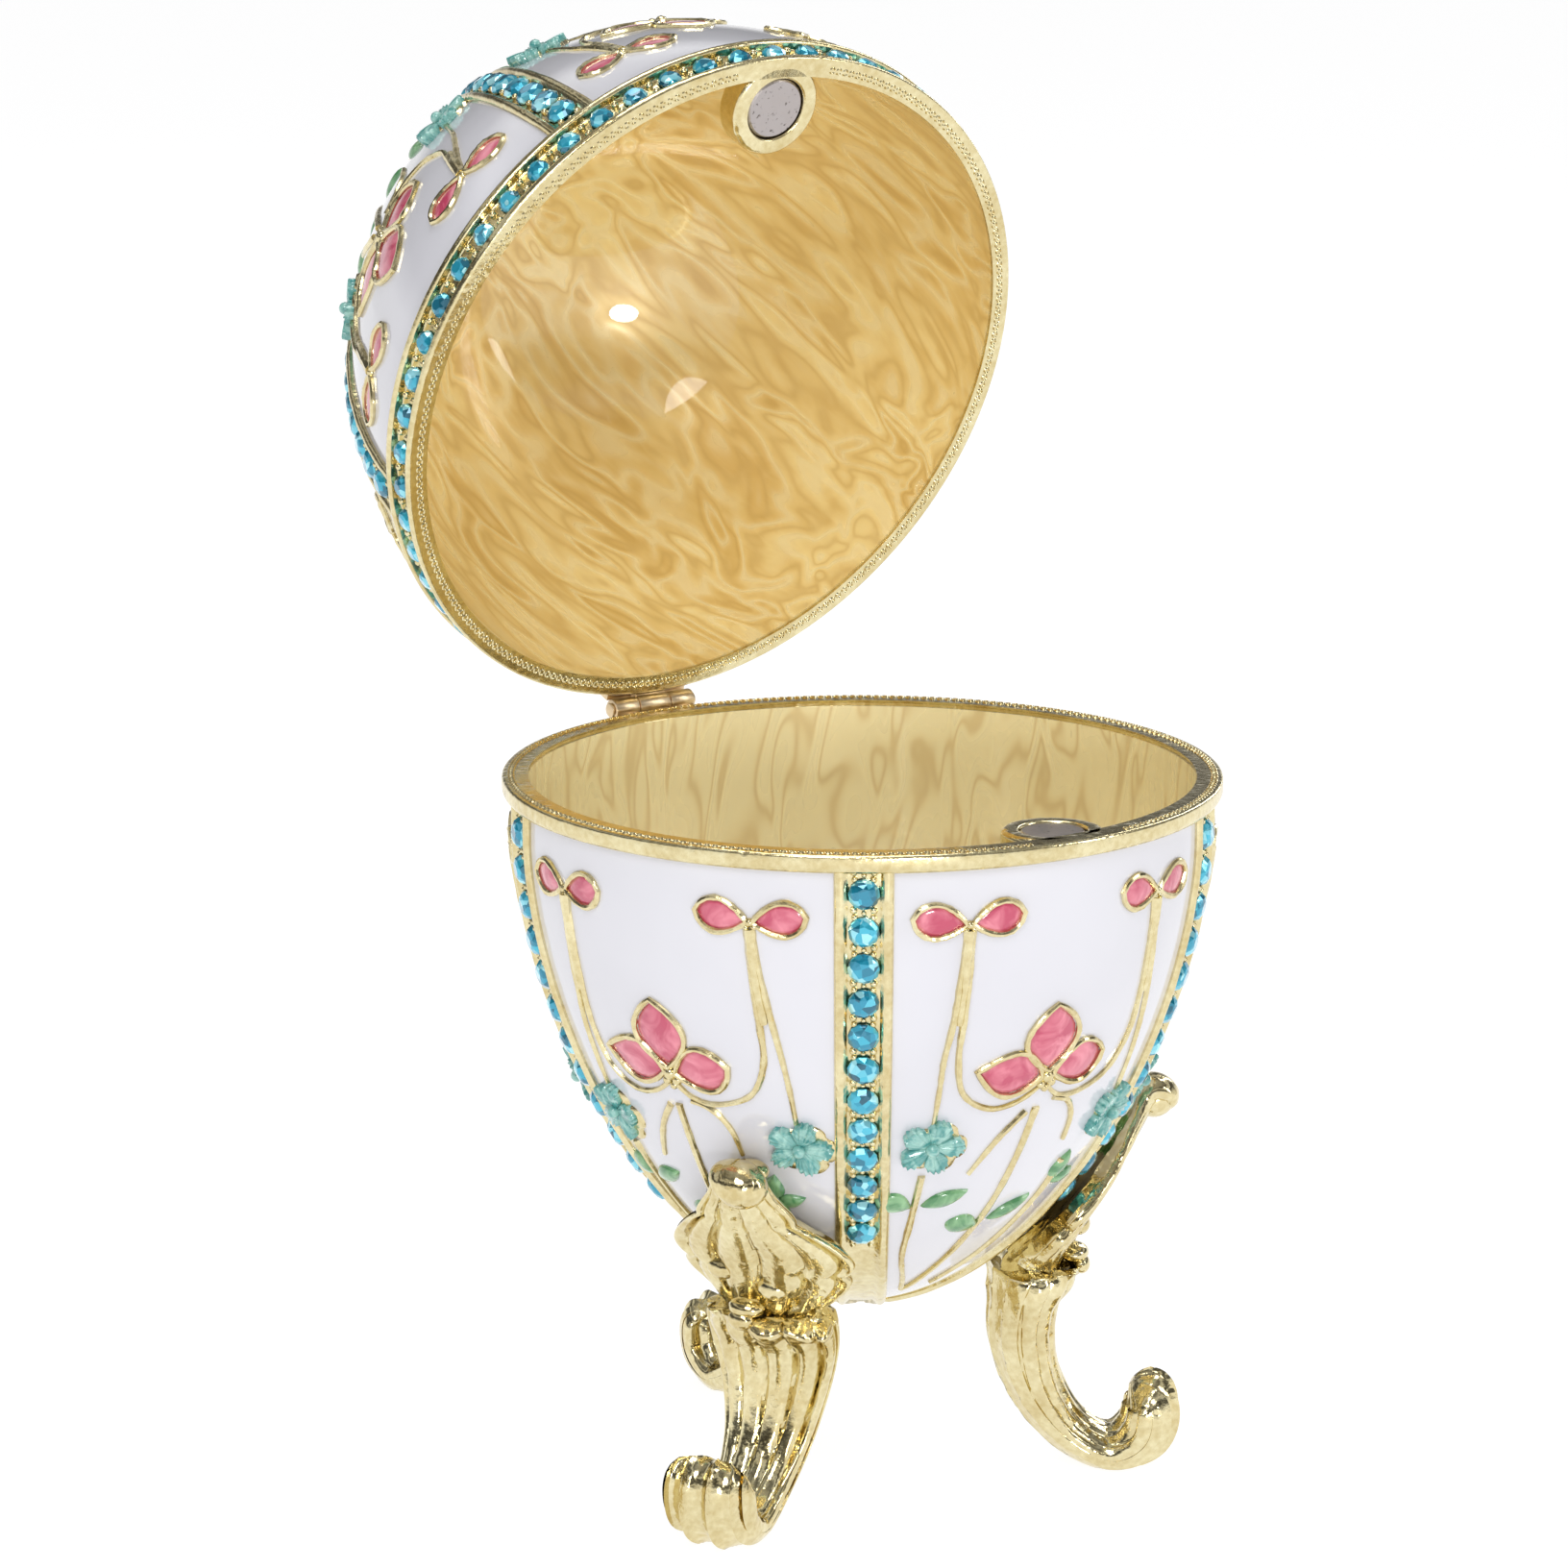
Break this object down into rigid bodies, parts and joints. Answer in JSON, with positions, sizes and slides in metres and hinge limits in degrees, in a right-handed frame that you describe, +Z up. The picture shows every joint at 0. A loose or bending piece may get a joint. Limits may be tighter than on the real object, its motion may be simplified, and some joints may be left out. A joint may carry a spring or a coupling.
{
  "type": "trinket box",
  "caption": "Egg-shaped trinket box with jewelled strips, enamelled flowers and a hinged lid, open, on three curled legs.",
  "frame": {"origin": "on the table under the middle of the open box's own bounding box", "axes": "+Z up, -Y towards the front with the magnet catch, +Y towards the hinge, +X to the right seen from the front"},
  "size_m": [0.0568, 0.0808, 0.1136],
  "materials": {
    "white_enamel": "glossy white enamel on cast metal, with rose, green and turquoise enamel in its flowers",
    "pearl_enamel": "swirled pearl amber enamel under clear gloss, inside bowl and lid",
    "gold_plate": "bright pale gold plating over a slightly rough casting",
    "turquoise_stones": "faceted foil-backed sky blue stones",
    "rose_enamel": "glossy rose enamel, deeper in the middle of each petal",
    "leaf_enamel": "glossy leaf green enamel over gold",
    "turquoise_enamel": "glossy turquoise enamel over veined flowers",
    "magnet_steel": "plain nickel-plated magnet face"
  },
  "bodies": {
    "base": {"bowl": "white_enamel", "bowl_magnet": "magnet_steel", "hinge_bowl_leaf": "gold_plate", "hinge_pin": "gold_plate", "bowl_stone_row_1": "turquoise_stones", "bowl_stone_row_2": "turquoise_stones", "bowl_stone_row_3": "turquoise_stones", "bowl_stone_row_4": "turquoise_stones", "bowl_stone_row_5": "turquoise_stones", "leg_back": "gold_plate", "leg_left": "gold_plate", "leg_right": "gold_plate"},
    "lid": {"lid": "white_enamel", "lid_magnet": "magnet_steel", "hinge_lid_leaf": "gold_plate", "lid_stone_band": "turquoise_stones", "lid_stone_row_1": "turquoise_stones", "lid_stone_row_2": "turquoise_stones", "lid_stone_row_3": "turquoise_stones", "lid_stone_row_4": "turquoise_stones", "lid_stone_row_5": "turquoise_stones"}
  },
  "joints": [
    {"name": "lid_hinge", "type": "hinge", "parent": "base", "child": "lid", "pos_m": [0, 0.01694, 0.0567], "axis": [1, 0, 0], "range_deg": [0, 70.3]}
  ]
}
